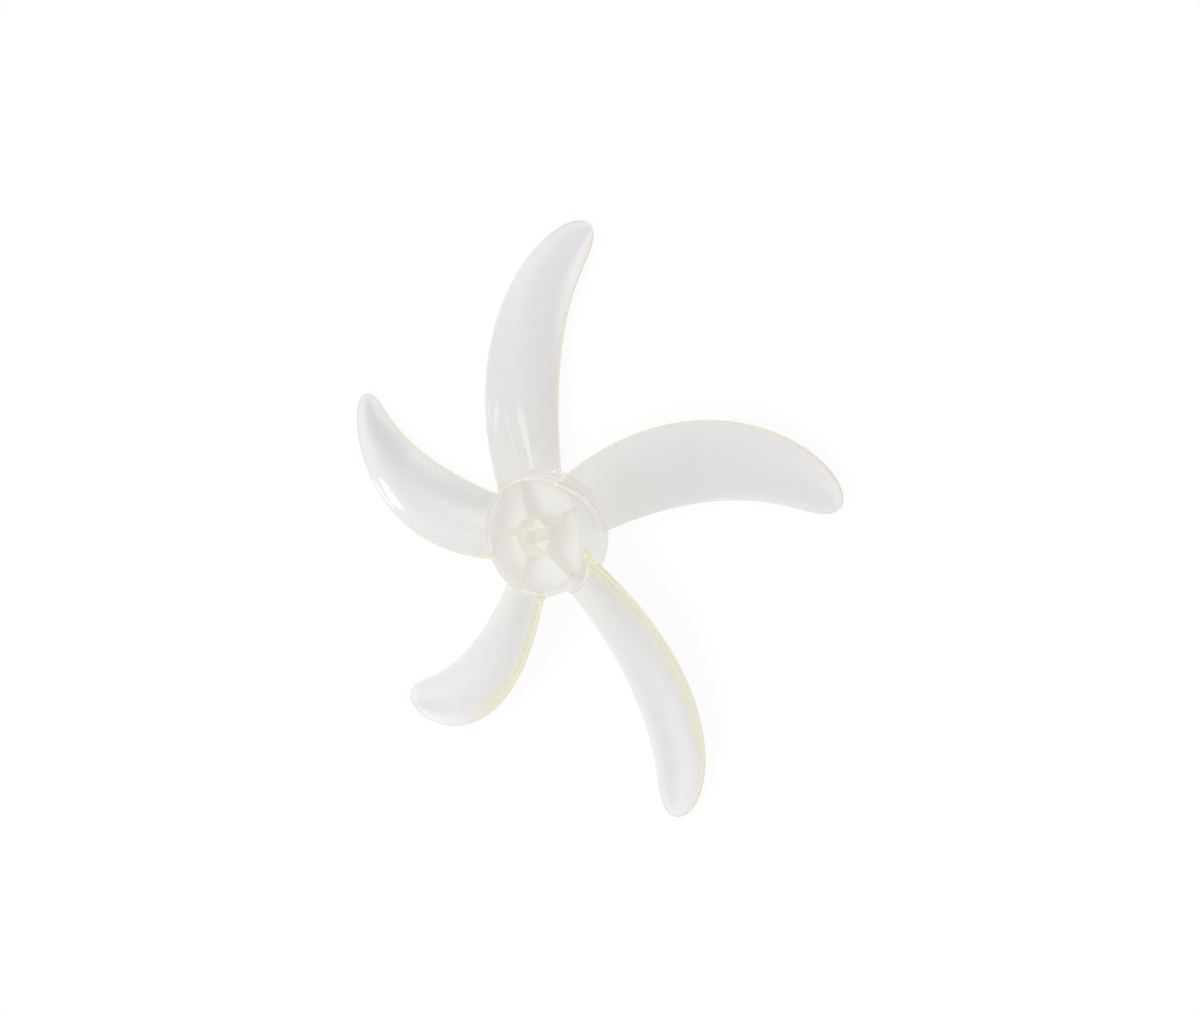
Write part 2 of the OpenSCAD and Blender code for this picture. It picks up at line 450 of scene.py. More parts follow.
    grid = add_node(tree, "GeometryNodeMeshGrid", Vertices_X=ROOT_RINGS + SPAN_RINGS + 2, Vertices_Y=LOOP + 1)
    spot = add_node(tree, "ShaderNodeCombineXYZ", X=x, Y=y, Z=z)
    shaped = add_node(
        tree, "GeometryNodeSetPosition", Geometry=grid.outputs["Mesh"], Position=spot.outputs[0]
    )
    edge_gap = half_chord * (1 - maths("ABSOLUTE", across)) - half_thick * maths("ABSOLUTE", cosine(turn))
    marked = shaped
    tip_run = clamped((t - TIP_START) / (1 - TIP_START))
    bands = ((EDGE_ATTRIBUTE, EDGE_BAND, 1.0, TIP_BROADER), (BAND_ATTRIBUTE, TRAILING_BAND, across, 0.0))
    for name, (width, fade), side, broader in bands:
        band = clamped((width * (1 + tip_run * broader) - edge_gap) / fade)
        band = band * maths("GREATER_THAN", side + zero, 0.0)
        marked = add_node(
            tree,
            "GeometryNodeStoreNamedAttribute",
            Geometry=marked.outputs[0],
            Name=name,
            Value=band * band * (3 - 2 * band) * open_row,
        )
    closed = add_node(tree, "GeometryNodeMergeByDistance", Geometry=marked.outputs[0], Distance=BLADE_MERGE)
    outward = add_node(tree, "GeometryNodeFlipFaces", Mesh=closed.outputs[0])
    taken = add_node(tree, "NodeGroupOutput")
    tree.links.new(outward.outputs[0], taken.inputs["Blade"])
    return tree


def object_input(tree, given, name):
    """The mesh of an object that is an input of the tree."""
    info = add_node(tree, "GeometryNodeObjectInfo", Object=given.outputs[name])
    return info.outputs["Geometry"]


def ring_of(tree, shape, count, first_angle):
    """Copies of a shape, evenly round the axis."""
    points = add_node(tree, "GeometryNodePoints", Count=count)
    index = Field(tree, add_node(tree, "GeometryNodeInputIndex").outputs[0])
    around = first_angle + index * (2 * math.pi) / Field(tree, count)
    turned = add_node(tree, "ShaderNodeCombineXYZ", Z=around)
    rotation = add_node(tree, "FunctionNodeEulerToRotation", Euler=turned.outputs[0])
    copies = add_node(
        tree,
        "GeometryNodeInstanceOnPoints",
        Points=points.outputs[0],
        Instance=shape,
        Rotation=rotation.outputs[0],
    )
    return copies.outputs[0]


def combined(tree, operation, first, *others):
    """Union of solids, or the first less the others."""
    node = add_node(tree, "GeometryNodeMeshBoolean", {"operation": operation, "solver": "MANIFOLD"})
    operands = others
    if operation == "UNION":
        operands = (first, *others)
    else:
        tree.links.new(first, node.inputs["Mesh 1"])
    for operand in operands:
        tree.links.new(operand, node.inputs["Mesh 2"])
    return node.outputs["Mesh"]


SOLIDS = ("Hub", "Hollow", "Rib", "Bore", "Pin slot")
CREASE = math.radians(28)


def rotor_tree():
    """Node tree that repeats the blades and ribs and joins them to the hub."""
    tree = bpy.data.node_groups.new("Fan rotor", "GeometryNodeTree")
    tree.is_modifier = True
    tree.interface.new_socket("Geometry", in_out="INPUT", socket_type="NodeSocketGeometry")
    for name in SOLIDS:
        tree.interface.new_socket(name, in_out="INPUT", socket_type="NodeSocketObject")
    tree.interface.new_socket("Blade count", in_out="INPUT", socket_type="NodeSocketInt")
    tree.interface.new_socket("Plastic", in_out="INPUT", socket_type="NodeSocketMaterial")
    size_inputs(tree, BladeSizes)
    size_inputs(tree, HubSizes, HUB_INPUTS)
    tree.interface.new_socket("Geometry", in_out="OUTPUT", socket_type="NodeSocketGeometry")
    given = add_node(tree, "NodeGroupInput")
    solids = {name: object_input(tree, given, name) for name in SOLIDS}
    count = given.outputs["Blade count"]
    sweep = Field(tree, given.outputs["Sweep"])

    blade = add_node(tree, "GeometryNodeGroup", {"node_tree": blade_tree()})
    for socket in blade.inputs:
        tree.links.new(given.outputs[socket.name], socket)
    zero = sweep * 0
    blades = ring_of(tree, blade.outputs["Blade"], count, zero)
    ribs = ring_of(tree, solids["Rib"], count, sweep + math.pi / 2)
    body = combined(tree, "UNION", solids["Hub"], blades)
    bays = combined(tree, "DIFFERENCE", solids["Hollow"], ribs)
    moulding = combined(tree, "DIFFERENCE", body, bays, solids["Bore"], solids["Pin slot"])

    whole = add_node(tree, "GeometryNodeRealizeInstances", Geometry=moulding)
    smooth = add_node(tree, "GeometryNodeSetShadeSmooth", Geometry=whole.outputs[0], Shade_Smooth=True)
    fold = add_node(tree, "GeometryNodeInputMeshEdgeAngle")
    sharp = maths("GREATER_THAN", Field(tree, fold.outputs["Unsigned Angle"]), CREASE)
    creased = add_node(
        tree,
        "GeometryNodeSetShadeSmooth",
        {"domain": "EDGE"},
        Geometry=smooth.outputs[0],
        Selection=sharp,
        Shade_Smooth=False,
    )
    coated = add_node(
        tree, "GeometryNodeSetMaterial", Geometry=creased.outputs[0], Material=given.outputs["Plastic"]
    )
    taken = add_node(tree, "NodeGroupOutput")
    tree.links.new(coated.outputs[0], taken.inputs["Geometry"])
    return tree


# Fineness of the hub's mesh
TURN_STEPS = 192
BORE_STEPS = 96
CORNER_STEPS = 10
WALL_ROWS = 8


def arc(centre, radius, start, end):
    """Points round a corner of an outline, with angles in degrees."""
    points = []
    for step in range(CORNER_STEPS + 1):
        around = math.radians(start + (end - start) * step / CORNER_STEPS)
        points.append((centre[0] + radius * math.cos(around), centre[1] + radius * math.sin(around)))
    return points


def rows_between(start, end, rows):
    """Points that split a straight stretch of an outline, without its ends."""
    return [
        tuple(start[k] + (end[k] - start[k]) * row / rows for k in range(2)) for row in range(1, rows)
    ]


def mesh_object(name, mesh):
    """An object made of a finished mesh, linked to the scene."""
    data = bpy.data.meshes.new(name)
    mesh.to_mesh(data)
    mesh.free()
    made = bpy.data.objects.new(name, data)
    bpy.context.scene.collection.objects.link(made)
    return made


def lathe(name, outline, steps, closed):
    """Turns an outline of (radius, height) points round Z."""
    mesh = bmesh.new()
    verts = [mesh.verts.new((radius, 0.0, height)) for radius, height in outline]
    edges = [mesh.edges.new(pair) for pair in zip(verts, verts[1:])]
    if closed:
        edges.append(mesh.edges.new((verts[-1], verts[0])))
    bmesh.ops.spin(
        mesh,
        geom=verts + edges,
        cent=(0, 0, 0),
        axis=(0, 0, 1),
        angle=2 * math.pi,
        steps=steps,
        use_duplicate=False,
    )
    bmesh.ops.remove_doubles(mesh, verts=mesh.verts, dist=LATHE_MERGE)
    bmesh.ops.recalc_face_normals(mesh, faces=mesh.faces)
    return mesh_object(name, mesh)


def hub_outer_r(hub, z):
    """Radius of the hub's outside at a height above the rear rim."""
    return (hub.hub_d + hub.hub_draft * (1 - z / hub.hub_depth)) / 2


def boss_r(hub, z):
    """Radius of the boss at a height above the rear rim."""
    return (hub.boss_d + hub.boss_draft * z / hub.hub_depth) / 2


def hub_body(hub):
    """Outside of the hub as a solid, with its rounded front rim."""
    rear_r = hub_outer_r(hub, 0.0)
    rim_z = hub.hub_depth - hub.rim_r
    rear_corner = arc((rear_r - hub.lip_r, hub.lip_r), hub.lip_r, -90, 0)
    rim = arc((hub_outer_r(hub, rim_z) - hub.rim_r, rim_z), hub.rim_r, 0, 90)
    wall = rows_between(rear_corner[-1], rim[0], WALL_ROWS)
    outline = [(0.0, 0.0)] + rear_corner + wall + rim + [(0.0, hub.hub_depth)]
    return lathe("hub_body", outline, TURN_STEPS, closed=False)


def hub_hollow(hub):
    """Hollow between the side wall and the boss, open to the rear."""
    face_z = hub.hub_depth - hub.face_t
    mouth_r = hub_outer_r(hub, 0.0) - hub.hub_wall
    top_r = hub_outer_r(hub, face_z) - hub.hub_wall
    lip = hub.lip_r
    outline = [(boss_r(hub, 0.0) - lip, -BITE), (mouth_r + lip, -BITE)]
    outline += arc((mouth_r + lip, lip), lip, 270, 180)
    outline += arc((top_r - hub.corner_r, face_z - hub.corner_r), hub.corner_r, 0, 90)
    outline += arc((boss_r(hub, face_z) + hub.foot_r, face_z - hub.foot_r), hub.foot_r, 90, 180)
    outline += arc((boss_r(hub, 0.0) - lip, lip), lip, 0, -90)
    return lathe("hub_hollow", outline, TURN_STEPS, closed=True)


def rib(hub):
    """One rib along +X, thinner towards its rounded free edge."""
    face_z = hub.hub_depth - hub.face_t
    top = face_z + BITE
    inner = hub.boss_d / 2 - BITE
    outer = hub_outer_r(hub, face_z) - hub.hub_wall + BITE
    edge_r = (hub.rib_t - hub.rib_draft) / 2
    mesh = bmesh.new()
    sections = []
    for x, height in ((inner, hub.rib_boss_h), (outer, hub.rib_wall_h)):
        free_z = face_z - height + edge_r
        section = [(hub.rib_t / 2, top)] + arc((0.0, free_z), edge_r, 0, -180) + [(-hub.rib_t / 2, top)]
        sections.append([mesh.verts.new((x, y, z)) for y, z in section])
    near, far = sections
    count = len(near)
    for k in range(count):
        mesh.faces.new((near[k], near[(k + 1) % count], far[(k + 1) % count], far[k]))
    mesh.faces.new(near)
    mesh.faces.new(far)
    bmesh.ops.recalc_face_normals(mesh, faces=mesh.faces)
    return mesh_object("rib", mesh)


def bore(hub):
    """Bore for the shaft, right through, with its edges broken."""
    bore_r = (hub.shaft_d + hub.shaft_gap) / 2
    wide_r = bore_r + hub.lip_r
    top = hub.hub_depth
    outline = [(0.0, -BITE), (wide_r, -BITE), (wide_r, 0.0), (bore_r, hub.lip_r)]
    outline += [(bore_r, top - hub.lip_r), (wide_r, top), (wide_r, top + BITE), (0.0, top + BITE)]
    return lathe("bore", outline, BORE_STEPS, closed=False)


def pin_slot(hub):
    """Slot across the rear end of the boss, for the shaft's drive pin."""
    mesh = bmesh.new()
    size = Matrix.Diagonal((2 * hub.boss_d, hub.pin_d + hub.pin_gap, hub.slot_depth + BITE, 1.0))
    place = Matrix.Translation((0.0, 0.0, (hub.slot_depth - BITE) / 2))
    bmesh.ops.create_cube(mesh, size=1.0, matrix=place @ size)
    return mesh_object("pin_slot", mesh)


def separate(tree, vector):
    """The X, Y and Z of a vector, as fields."""
    node = add_node(tree, "ShaderNodeSeparateXYZ", Vector=vector)
    return tuple(Field(tree, socket) for socket in node.outputs)


# Where a Mix node keeps its two colours and the mixed one
MIX_FIRST = 6
MIX_SECOND = 7
MIX_RESULT = 2


def mixed(tree, factor, first, second):
    """Two colours mixed by a field."""
    node = add_node(tree, "ShaderNodeMix", {"data_type": "RGBA", "blend_type": "MIX"})
    feed(tree, node.inputs["Factor"], factor)
    feed(tree, node.inputs[MIX_FIRST], first)
    feed(tree, node.inputs[MIX_SECOND], second)
    return node.outputs[MIX_RESULT]


def opaque(rgb):
    """A colour with its fourth number, which a colour socket needs."""
    return (*rgb, 1.0)


def bare_tree(owner):
    """The node tree of a material or a world, without the nodes that it starts with."""
    owner.use_nodes = True
    owner.node_tree.nodes.clear()
    return owner.node_tree


def put_out(tree, shader):
    """Makes the shader the surface of its material."""
    out = add_node(tree, "ShaderNodeOutputMaterial")
    tree.links.new(shader.outputs[0], out.inputs["Surface"])
    return out


# How far along an edge the root's tint fades out, and the tip's comes in
ROOT_REACH = 10 * MM
TIP_REACH = 32 * MM
# Flow streaks round the hub and along the radius, and how fine the clouds and the scuffs are
STREAKS_AROUND = 22
STREAKS_ALONG = 9
CLOUD_SCALE = 28.0
SCUFF_SCALE = 420.0
# The middle of what a noise gives, and how far the clouds shift the tint along the blade
NOISE_MIDDLE = 0.5
TINT_DRIFT = 0.3
# The painted edge light and the haze at their least, and what clouds and scuffs add to them
GLOW_LEAST = 0.75
GLOW_CLOUDS = 0.5
HAZE_LEAST = 0.5
HAZE_SCUFFS = 0.6
HAZE_CLOUDS = 0.4
# Shares of the streaks and of the clouds in the ripples
STREAK_RIPPLE = 0.7
CLOUD_RIPPLE = 0.3


def noise(tree, place, **settings):
    """A noise at a place, as a field."""
    return Field(tree, add_node(tree, "ShaderNodeTexNoise", Vector=place, **settings).outputs[0])


def moulded_group():
    """Shader group of a clear moulding: tint that changes from hub to tips, painted edge light and root glow,
    haze and flow ripples.
    """
    tree = bpy.data.node_groups.new("Moulded clear plastic", "ShaderNodeTree")
    for name in ("Hub tint", "Tip tint", "Inside tint", "Edge tint", "Root tint", "Tip edge tint"):
        tree.interface.new_socket(name, in_out="INPUT", socket_type="NodeSocketColor")
    for name in ("Hub radius", "Tip radius", "Inside radius", "Inside height", "Haze", "Satin"):
        tree.interface.new_socket(name, in_out="INPUT", socket_type="NodeSocketFloat")
    tree.interface.new_socket("Colour", in_out="OUTPUT", socket_type="NodeSocketColor")
    tree.interface.new_socket("Roughness", in_out="OUTPUT", socket_type="NodeSocketFloat")
    tree.interface.new_socket("Height", in_out="OUTPUT", socket_type="NodeSocketFloat")
    tree.interface.new_socket("Trailing band", in_out="OUTPUT", socket_type="NodeSocketFloat")
    given = add_node(tree, "NodeGroupInput")
    place = add_node(tree, "ShaderNodeTexCoord").outputs["Object"]
    x, y, z = separate(tree, place)
    radius = root_of(x * x + y * y)

    # The melt flows outwards from the hub, so the streaks do too
    flow = add_node(
        tree,
        "ShaderNodeCombineXYZ",
        X=x / radius * STREAKS_AROUND,
        Y=y / radius * STREAKS_AROUND,
        Z=radius * STREAKS_ALONG,
    )
    streak = noise(tree, flow.outputs[0], Scale=1.0, Detail=3.0, Roughness=0.5)
    cloud = noise(tree, place, Scale=CLOUD_SCALE, Detail=4.0, Roughness=0.6)
    scuff = noise(tree, place, Scale=SCUFF_SCALE, Detail=4.0, Roughness=0.7)

    inner = Field(tree, given.outputs["Hub radius"])
    outer = Field(tree, given.outputs["Tip radius"])
    along = clamped((radius - inner) / (outer - inner) + (cloud - NOISE_MIDDLE) * TINT_DRIFT)
    tint = mixed(tree, along, given.outputs["Hub tint"], given.outputs["Tip tint"])
    # Painted edge light: the rounded edges take a lighter yellow near the hub and a deeper yellow round the
    # tips, which stands in for the light that the plastic gathers and lets out there
    edge = add_node(tree, "ShaderNodeAttribute", {"attribute_name": EDGE_ATTRIBUTE})
    glow = clamped(Field(tree, edge.outputs["Fac"]) * (GLOW_LEAST + cloud * GLOW_CLOUDS))
    at_tip = clamped((radius - outer) / TIP_REACH + 1)
    edge_light_colour = mixed(tree, at_tip, given.outputs["Edge tint"], given.outputs["Tip edge tint"])
    edged = mixed(tree, glow, tint, edge_light_colour)
    trailing = add_node(tree, "ShaderNodeAttribute", {"attribute_name": BAND_ATTRIBUTE})
    # Painted glow: a bright yellow where the trailing edges meet the hub
    both = Field(tree, trailing.outputs["Fac"]) * Field(tree, edge.outputs["Fac"])
    at_root = clamped(1 - (radius - inner) / ROOT_REACH) * both
    rooted = mixed(tree, at_root, edged, given.outputs["Root tint"])

    # The mould leaves the hub satin behind its front face
    within = maths("LESS_THAN", radius, Field(tree, given.outputs["Inside radius"]))
    behind = maths("LESS_THAN", z, Field(tree, given.outputs["Inside height"]))
    inside = within * behind
    tinted = mixed(tree, inside, rooted, given.outputs["Inside tint"])
    satin = inside * Field(tree, given.outputs["Satin"])
    uneven = HAZE_LEAST + scuff * HAZE_SCUFFS + cloud * HAZE_CLOUDS
    haze = Field(tree, given.outputs["Haze"]) * uneven + satin

    taken = add_node(tree, "NodeGroupOutput")
    tree.links.new(tinted, taken.inputs["Colour"])
    tree.links.new(haze.socket, taken.inputs["Roughness"])
    tree.links.new((streak * STREAK_RIPPLE + cloud * CLOUD_RIPPLE).socket, taken.inputs["Height"])
    tree.links.new(trailing.outputs["Fac"], taken.inputs["Trailing band"])
    return tree


def mixed_shader(tree, factor, first, second):
    """The first shader, or the second where the factor is 1."""
    node = add_node(tree, "ShaderNodeMixShader", Fac=factor)
    tree.links.new(first.outputs[0], node.inputs[1])
    tree.links.new(second.outputs[0], node.inputs[2])
    return node


# Reflections, and turns of any kind, after which light counts as caught inside the plastic and a painted glow
# shows in its place
REFLECTIONS = 4
TURNS = 8
# The same inside the hub, where walls, ribs and boss pass the light on to each other
HUB_TURNS = 3
# And on the hub's outer wall, which is seen through the blades' roots
WALL_TURNS = 2
# Turn of a surface away from the eye, 0 when faced and 1 edge on, where its depth begins to show, and
# where it shows fully
SLANT_START = 0.42
SLANT_END = 0.54
# The satin reaches this far past the inside of the front face, so that rounding leaves none of it out
SATIN_MARGIN = 0.1 * MM


def clear_plastic(finish, hub, blades):
    """Clear glossy plastic with painted edge light and a painted glow for light caught inside it, that lets
    the lamps' light through.
    """
    material = bpy.data.materials.new("clear_plastic")
    tree = bare_tree(material)
    hub_reach = (hub.hub_d + hub.hub_draft) / 2 + hub.lip_r
    moulded = add_node(
        tree,
        "ShaderNodeGroup",
        {"node_tree": moulded_group()},
        Hub_tint=opaque(finish.hub_tint),
        Tip_tint=opaque(finish.tip_tint),
        Inside_tint=opaque(finish.inside_tint),
        Edge_tint=opaque(finish.edge_tint),
        Root_tint=opaque(finish.root_tint),
        Tip_edge_tint=opaque(finish.tip_edge_tint),
        Hub_radius=hub.hub_d / 2,
        Tip_radius=blades.fan_d / 2,
        Inside_radius=hub_reach,
        Inside_height=hub.hub_depth - hub.face_t + SATIN_MARGIN,
        Haze=finish.haze,
        Satin=finish.satin,
    )
    bump = add_node(
        tree, "ShaderNodeBump", Height=moulded.outputs["Height"], Distance=finish.ripple, Strength=1.0
    )

    # Seen at a slant, the trailing edge shows more of the plastic's depth
    facing = Field(tree, add_node(tree, "ShaderNodeLayerWeight", Blend=0.5).outputs["Facing"])
    slant = clamped((facing - SLANT_START) / (SLANT_END - SLANT_START))
    deep = slant * Field(tree, moulded.outputs["Trailing band"])
    shader = add_node(
        tree,
        "ShaderNodeBsdfPrincipled",
        Base_Color=mixed(tree, deep, moulded.outputs["Colour"], opaque(finish.slant_tint)),
        Roughness=moulded.outputs["Roughness"],
        IOR=finish.ior,
        Transmission_Weight=1.0,
        Normal=bump.outputs["Normal"],
    )
    paths = add_node(tree, "ShaderNodeLightPath")

    # Painted glow: once light has been caught between the faces, the surface becomes an emission of a set
    # colour that stands in for the light that would leave at last, paler in the hub and its outer wall and
    # bright yellow where a trailing edge meets the hub
    x, y, _ = separate(tree, add_node(tree, "ShaderNodeTexCoord").outputs["Object"])
    radius = root_of(x * x + y * y)
    in_hub = maths("LESS_THAN", radius, hub_reach)
    on_wall = in_hub * maths("GREATER_THAN", radius, hub.hub_d / 2 - hub.lip_r)
    hub_light = mixed(tree, on_wall, opaque(finish.hub_light), opaque(finish.wall_light))
    root_light = mixed(tree, moulded.outputs["Trailing band"], hub_light, opaque(finish.root_light))
    light = mixed(tree, in_hub, opaque(finish.gathered_glow), root_light)
    gathered = add_node(tree, "ShaderNodeEmission", Color=light, Strength=1.0)
    reflected = maths("GREATER_THAN", Field(tree, paths.outputs["Glossy Depth"]), REFLECTIONS - HALF_STEP)
    turns = TURNS - HALF_STEP - in_hub * (TURNS - HUB_TURNS) - on_wall * (HUB_TURNS - WALL_TURNS)
    turned = maths("GREATER_THAN", Field(tree, paths.outputs["Ray Depth"]), turns)
    caught = maths("MAXIMUM", reflected, turned)
    lit = mixed_shader(tree, caught, shader, gathered)
    passed = add_node(tree, "ShaderNodeBsdfTransparent", Color=opaque(finish.lamp_tint))
    either = mixed_shader(tree, paths.outputs["Is Shadow Ray"], lit, passed)
    material.cycles.emission_sampling = "NONE"
    inside = add_node(
        tree,
        "ShaderNodeVolumeAbsorption",
        Color=opaque(finish.inner_colour),
        Density=finish.inner_density,
    )
    out = put_out(tree, either)
    tree.links.new(inside.outputs[0], out.inputs["Volume"])
    return material


def set_inputs(modifier, values):
    """Writes a modifier's inputs by name, through their identifiers."""
    for item in modifier.node_group.interface.items_tree:
        if item.item_type == "SOCKET" and item.in_out == "INPUT" and item.name in values:
            modifier[item.identifier] = values[item.name]


def named_sizes(group):
    """The sizes of a property group by their names."""
    return {
        prop.name: getattr(group, key)
        for key, prop in group.bl_rna.properties.items()
        if prop.type == "FLOAT"
    }


class FANROTOR_OT_moulding(bpy.types.Operator):
    """Make the clear moulding: hub, boss, ribs and blades as one closed mesh"""

    bl_idname = "fanrotor.moulding"
    bl_label = "Make moulding"

    def execute(self, context):
        scene = context.scene
        hub = scene.fanrotor_hub
        blades = scene.fanrotor_blades
        solids = dict(zip(SOLIDS, (hub_body(hub), hub_hollow(hub), rib(hub), bore(hub), pin_slot(hub))))
        plastic = clear_plastic(scene.fanrotor_plastic, hub, blades)
        source = mesh_object("rotor_source", bmesh.new())
        modifier = source.modifiers.new("Fan rotor", "NODES")
        modifier.node_group = rotor_tree()
        values = {**solids, "Plastic": plastic, "Blade count": scene.fanrotor_blade_count}
        values.update(named_sizes(hub))
        values.update(named_sizes(blades))
        set_inputs(modifier, values)
        context.view_layer.update()
        result = source.evaluated_get(context.evaluated_depsgraph_get())
        mesh = bpy.data.meshes.new_from_object(result)
        if not mesh.polygons:
            raise RuntimeError("the node tree made no mesh")
        mesh.name = PIECE
        rotor = bpy.data.objects.new(PIECE, mesh)
        scene.collection.objects.link(rotor)
        for helper in (source, *solids.values()):
            bpy.data.objects.remove(helper)
        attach(rotor, BODY)
        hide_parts(NODE)
        return {"FINISHED"}


def looking_at(place, aim):
    """Rotation of a camera or lamp at a place that points at the aim."""
    return (Vector(aim) - place).to_track_quat("-Z", "Y").to_matrix().to_4x4()


# Width of the camera's sensor in millimetres
SENSOR_WIDTH = 36.0


def add_camera(studio):
    """Camera at the photograph's viewing angle."""
    data = bpy.data.cameras.new("camera")
    data.lens = studio.lens
    data.sensor_width = SENSOR_WIDTH
    data.sensor_fit = "HORIZONTAL"
    camera = bpy.data.objects.new("camera", data)
    bpy.context.scene.collection.objects.link(camera)
    way = sky_way(math.degrees(studio.camera_azimuth), math.degrees(studio.camera_elevation))
    place = Vector(studio.aim) + Vector(way) * studio.camera_distance
    roll = Matrix.Rotation(studio.camera_roll, 4, "Z")
    camera.matrix_world = Matrix.Translation(place) @ looking_at(place, studio.aim) @ roll
    bpy.context.scene.camera = camera


def path_share(tree, *names):
    """1 on rays of any of the kinds named, and 0 on others."""
    paths = add_node(tree, "ShaderNodeLightPath")
    seen = Field(tree, paths.outputs[names[0]])
    for name in names[1:]:
        seen = maths("MAXIMUM", seen, Field(tree, paths.outputs[name]))
    return seen


def add_floor(studio):
    """White floor under the rear rim. It glows a little for the camera and keeps the shadow."""
    mesh = bmesh.new()
    bmesh.ops.create_grid(mesh, x_segments=1, y_segments=1, size=studio.floor_size / 2)
    mesh.transform(Matrix.Translation((0.0, 0.0, -studio.floor_gap)))
    floor = mesh_object("floor", mesh)
    material = bpy.data.materials.new("white_floor")
    tree = bare_tree(material)
    paper = add_node(tree, "ShaderNodeBsdfDiffuse", Color=PAPER)
    white = add_node(tree, "ShaderNodeEmission", Color=WHITE, Strength=1.0)
    direct = path_share(tree, "Is Camera Ray") * studio.floor_glow
    inside = path_share(tree, "Is Glossy Ray", "Is Transmission Ray") * studio.floor_glow_inside
    shown = mixed_shader(tree, maths("MAXIMUM", direct, inside), paper, white)

    # From below, the floor lets the rear of the rotor be seen
    clear = add_node(tree, "ShaderNodeBsdfTransparent")
    backfacing = add_node(tree, "ShaderNodeNewGeometry").outputs["Backfacing"]
    one_sided = mixed_shader(tree, backfacing, shown, clear)
    put_out(tree, one_sided)
    floor.data.materials.append(material)


# Dark card that the left blade's outer half mirrors: its place and aim, half widths, turn and darkness
CARD_PLACE = (-271 * MM, 20 * MM, 111 * MM)
CARD_AIM = (-165 * MM, 24 * MM, 5 * MM)
CARD_HALF_WIDTHS = (68 * MM, 27 * MM)
CARD_TURN = math.radians(-36.7)
CARD_DARKNESS = 0.67
# Half width of the card's mesh, in those half widths, where its soft border has faded out
CARD_REACH = 2.0


def add_card():
    """Soft-edged dark card that shows only where the plastic mirrors it."""
    mesh = bmesh.new()
    bmesh.ops.create_grid(mesh, x_segments=1, y_segments=1, size=CARD_REACH)
    card = mesh_object("dark_card", mesh)
    place = Vector(CARD_PLACE)
    turned = looking_at(place, CARD_AIM) @ Matrix.Rotation(CARD_TURN, 4, "Z")
    card.matrix_world = Matrix.Translation(place) @ turned @ Matrix.Diagonal((*CARD_HALF_WIDTHS, 1.0, 1.0))
    card.visible_camera = False
    card.visible_diffuse = False
    card.visible_shadow = False
    material = bpy.data.materials.new("dark_card")
    tree = bare_tree(material)
    x, y, _ = separate(tree, add_node(tree, "ShaderNodeTexCoord").outputs["Object"])
    reach = x * x + y * y
    soft = maths("EXPONENT", -1 * reach * root_of(reach))
    paths = add_node(tree, "ShaderNodeLightPath")
    mirrored = maths("GREATER_THAN", Field(tree, paths.outputs["Glossy Depth"]), HALF_STEP)
    clear = add_node(tree, "ShaderNodeBsdfTransparent")
    dark = add_node(tree, "ShaderNodeBsdfDiffuse", Color=BLACK)
    shown = mixed_shader(tree, soft * mirrored * CARD_DARKNESS, clear, dark)
    put_out(tree, shown)
    card.data.materials.append(material)


# Soft windows, and dark places where the strength is below 0: azimuth, elevation and half width in
# degrees, and strength over the even white
WINDOWS = {
    "far": (-143, 39.5, 21, 1.37),
    "left": (165, 35, 13, 1.9),
    "dark_wall": (-174, 46, 10, -0.8),
    "camera_side": (20, 58.6, 20, -1.0),
}


def sky_way(azimuth, elevation):
    """Direction to a place in the sky, from angles in degrees."""
    level = math.cos(math.radians(elevation))
    around = math.radians(azimuth)
    return level * math.cos(around), level * math.sin(around), math.sin(math.radians(elevation))


def add_world(studio):
    """Even white light with soft windows in it, which shows as plain white behind the rotor."""
    world = bpy.data.worlds.new("studio")
    tree = bare_tree(world)
    x, y, z = separate(tree, add_node(tree, "ShaderNodeTexCoord").outputs["Generated"])
    windows = 0.0
    for azimuth, elevation, half_width, strength in WINDOWS.values():
        to_x, to_y, to_z = sky_way(azimuth, elevation)
        nearness = (x * to_x + y * to_y + z * to_z - 1) / (1 - math.cos(math.radians(half_width)))
        windows = maths("EXPONENT", nearness) * strength + windows
    plain = path_share(tree, "Is Camera Ray", "Is Transmission Ray")
    glossy = path_share(tree, "Is Glossy Ray")
    level = maths("MAXIMUM", plain, glossy) * (1.0 - studio.daylight) + studio.daylight
    light = add_node(
        tree, "ShaderNodeBackground", Color=WHITE, Strength=level + windows * (1 - plain)
    )
    out = add_node(tree, "ShaderNodeOutputWorld")
    tree.links.new(light.outputs[0], out.inputs["Surface"])
    bpy.context.scene.world = world


# Lamps: azimuth, elevation and turn in degrees, distance and sides in metres, brightness, and whether
# they show in mirrored light and in light that came through the plastic
LAMPS = {
    "softbox_near": (-95, 40, 0, 1.1, 0.55, 0.45, 3.0, False, False),
    "strip_overhead": (89.3, 76.4, 16.5, 1.22, 0.2, 0.02, 2.3, True, False),
    "strip_high": (51.3, 63.7, 22.5, 1.22, 0.11, 0.03, 1.5, True, False),
    "strip_behind_camera": (40.1, 53.2, -86.6, 1.22, 0.17, 0.035, 1.8, True, False),
    "strip_left": (136.4, 43.0, -90.7, 1.28, 0.25, 0.085, 3.4, True, True),
}


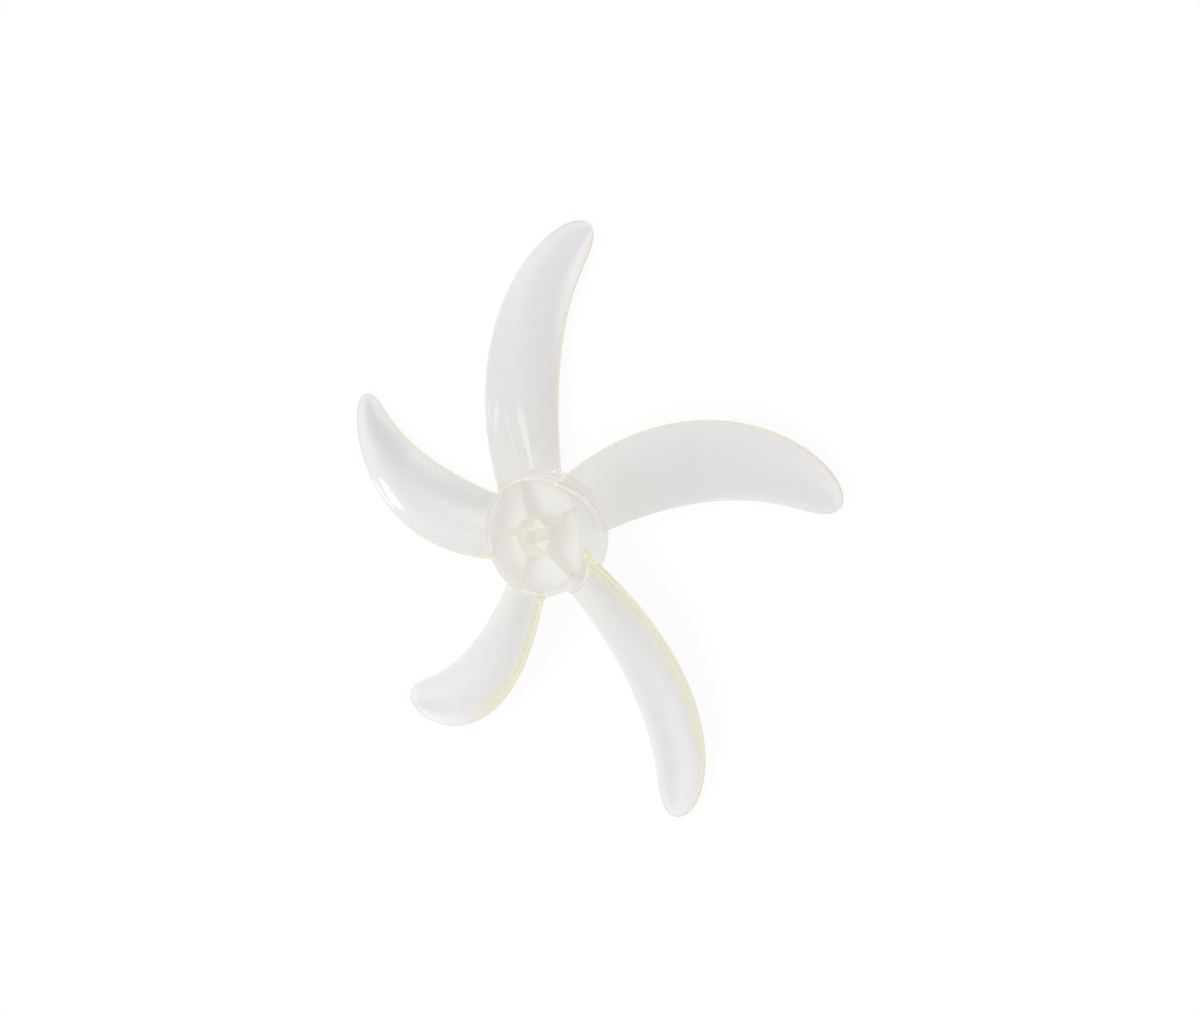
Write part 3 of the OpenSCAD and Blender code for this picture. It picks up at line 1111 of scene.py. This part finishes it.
def add_lamps():
    """A soft lamp and the strip lamps that draw the streaks on the blades."""
    for name, (azimuth, elevation, turn, distance, *panel) in LAMPS.items():
        long_side, short_side, brightness, mirrored, passed = panel
        data = bpy.data.lights.new(name, "AREA")
        data.shape = "RECTANGLE"
        data.size = long_side
        data.size_y = short_side
        data.energy = brightness * math.pi * long_side * short_side
        lamp = bpy.data.objects.new(name, data)
        bpy.context.scene.collection.objects.link(lamp)
        place = Vector(sky_way(azimuth, elevation)) * distance
        turned = Matrix.Rotation(math.radians(turn), 4, "Z")
        lamp.matrix_world = Matrix.Translation(place) @ looking_at(place, (0.0, 0.0, 0.0)) @ turned
        lamp.visible_glossy = mirrored
        lamp.visible_transmission = passed


class FANROTOR_OT_studio(bpy.types.Operator):
    """Make the camera, the white floor, the dark card, the even light and the lamps"""

    bl_idname = "fanrotor.studio"
    bl_label = "Make studio"

    def execute(self, context):
        studio = context.scene.fanrotor_studio
        add_camera(studio)
        add_floor(studio)
        add_card()
        add_world(studio)
        add_lamps()
        context.scene.view_settings.view_transform = "Standard"
        return {"FINISHED"}


class FANROTOR_PT_panel(bpy.types.Panel):
    """Sizes, finish and studio of the fan rotor"""

    bl_idname = "FANROTOR_PT_panel"
    bl_label = "Fan rotor"
    bl_space_type = "VIEW_3D"
    bl_region_type = "UI"
    bl_category = "Fan rotor"

    def draw(self, context):
        layout = self.layout
        layout.operator(FANROTOR_OT_studio.bl_idname)
        layout.operator(FANROTOR_OT_moulding.bl_idname)
        layout.prop(context.scene, "fanrotor_blade_count")
        for group in GROUPS:
            box = layout.box()
            box.label(text=group.__doc__)
            for key in group.__annotations__:
                box.prop(getattr(context.scene, GROUPS[group]), key)


GROUPS = {
    HubSizes: "fanrotor_hub",
    BladeSizes: "fanrotor_blades",
    PlasticFinish: "fanrotor_plastic",
    StudioSetup: "fanrotor_studio",
}
CLASSES = (*GROUPS, FANROTOR_OT_moulding, FANROTOR_OT_studio, FANROTOR_PT_panel)


def register():
    for cls in CLASSES:
        bpy.utils.register_class(cls)
    for group, name in GROUPS.items():
        setattr(bpy.types.Scene, name, bpy.props.PointerProperty(type=group))
    bpy.types.Scene.fanrotor_blade_count = bpy.props.IntProperty(
        name="Blade count", description="Number of blades round the hub", default=5, min=3, max=5
    )


def unregister():
    del bpy.types.Scene.fanrotor_blade_count
    for name in GROUPS.values():
        delattr(bpy.types.Scene, name)
    for cls in reversed(CLASSES):
        bpy.utils.unregister_class(cls)


def main():
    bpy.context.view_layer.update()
    register()
    bpy.ops.fanrotor.studio()
    bpy.ops.fanrotor.moulding()


if __name__ == "__main__":
    main()
